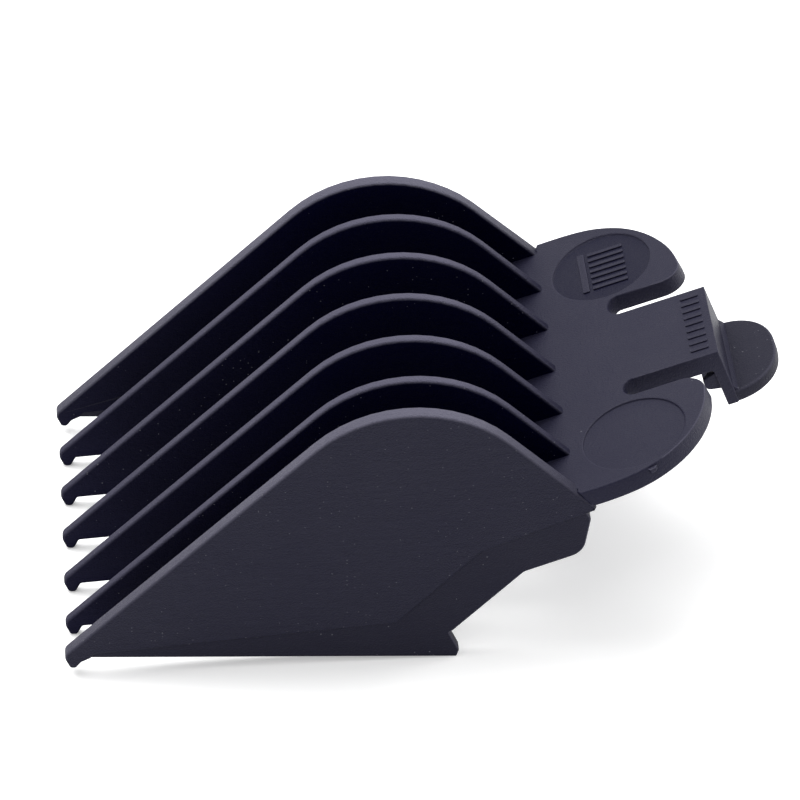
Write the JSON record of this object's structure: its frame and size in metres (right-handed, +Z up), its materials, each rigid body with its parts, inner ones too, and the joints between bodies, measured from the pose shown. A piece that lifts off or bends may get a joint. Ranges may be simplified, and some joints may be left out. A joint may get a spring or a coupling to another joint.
{
  "type": "hair clipper guide comb",
  "caption": "Clip-on guide comb for a hair clipper: tall parallel fins under a sloping deck with round ears, side skirts and a sprung release latch.",
  "frame": {"origin": "middle of the footprint, on the table that the comb stands on", "axes": "+X from the fin tips to the thumb pad, +Y to the comb's left side, +Z up"},
  "size_m": [0.0816, 0.049, 0.0335],
  "materials": {
    "comb_plastic": "fine moulded grain, dark blue-black"
  },
  "bodies": {
    "comb": {"side_wall_left": "comb_plastic", "side_wall_right": "comb_plastic", "side_skirt_left": "comb_plastic", "side_skirt_right": "comb_plastic", "fin_2": "comb_plastic", "fin_3": "comb_plastic", "fin_4": "comb_plastic", "fin_5": "comb_plastic", "fin_6": "comb_plastic", "deck_plate": "comb_plastic", "ear_left": "comb_plastic", "ear_right": "comb_plastic", "size_marks": "comb_plastic"},
    "release_latch": {"release_arm": "comb_plastic", "end_lip": "comb_plastic", "catch_wedge": "comb_plastic", "stop_rib": "comb_plastic", "thumb_pad": "comb_plastic", "grip_bars": "comb_plastic"}
  },
  "joints": [
    {"name": "latch_flex", "type": "hinge", "parent": "comb", "child": "release_latch", "pos_m": [0.02384, 0, 0.02394], "axis": [0, -1, 0], "range_deg": [0, 10], "stiffness_Nm_per_rad": 0.3}
  ]
}
